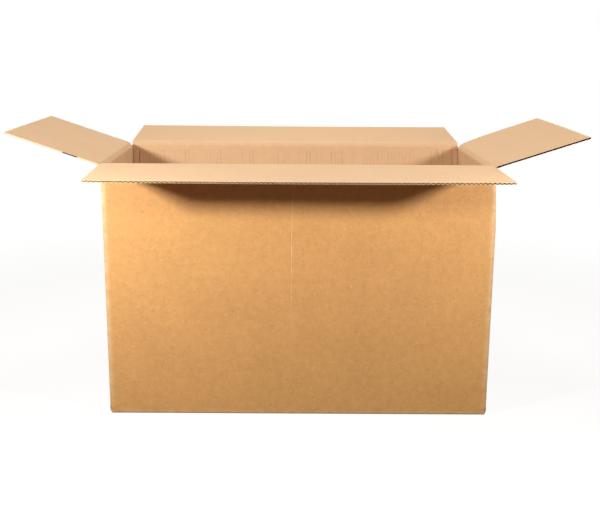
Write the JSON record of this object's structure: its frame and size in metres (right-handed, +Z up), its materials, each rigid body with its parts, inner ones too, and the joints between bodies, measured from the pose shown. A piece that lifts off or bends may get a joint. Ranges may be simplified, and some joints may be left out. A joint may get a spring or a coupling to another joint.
{
  "type": "open cardboard box",
  "caption": "Plain brown corrugated carton standing open, its top flaps folded out on their creases, its bottom flaps closed and taped, and a glued tab inside one back corner.",
  "frame": {"origin": "centre of the carton's flat underside, on the surface it stands on", "axes": "+X along the long sides towards the end with the glued joint, +Y from the front wall to the back wall, +Z up"},
  "size_m": [0.8836, 0.5981, 0.447],
  "materials": {
    "corrugated_board": "matte",
    "kraft_paper": "matte",
    "packing_tape": "gloss"
  },
  "bodies": {
    "carton": {"carton_body": "corrugated_board", "bottom_tape": "packing_tape"},
    "front_flap": {"front_flap": "kraft_paper"},
    "back_flap": {"back_flap": "kraft_paper"},
    "left_flap": {"left_flap": "kraft_paper"},
    "right_flap": {"right_flap": "kraft_paper"}
  },
  "joints": [
    {"name": "front_crease", "type": "hinge", "parent": "carton", "child": "front_flap", "pos_m": [0, -0.15015, 0.4], "axis": [-1, 0, 0], "range_deg": [-83.5, 181.5]},
    {"name": "back_crease", "type": "hinge", "parent": "carton", "child": "back_flap", "pos_m": [0, 0.15015, 0.4], "axis": [1, 0, 0], "range_deg": [-90.5, 174.5]},
    {"name": "left_crease", "type": "hinge", "parent": "carton", "child": "left_flap", "pos_m": [-0.30015, 0, 0.3967], "axis": [0, 1, 0], "range_deg": [-103.5, 161.5]},
    {"name": "right_crease", "type": "hinge", "parent": "carton", "child": "right_flap", "pos_m": [0.30015, 0, 0.3967], "axis": [0, -1, 0], "range_deg": [-103, 162]}
  ]
}
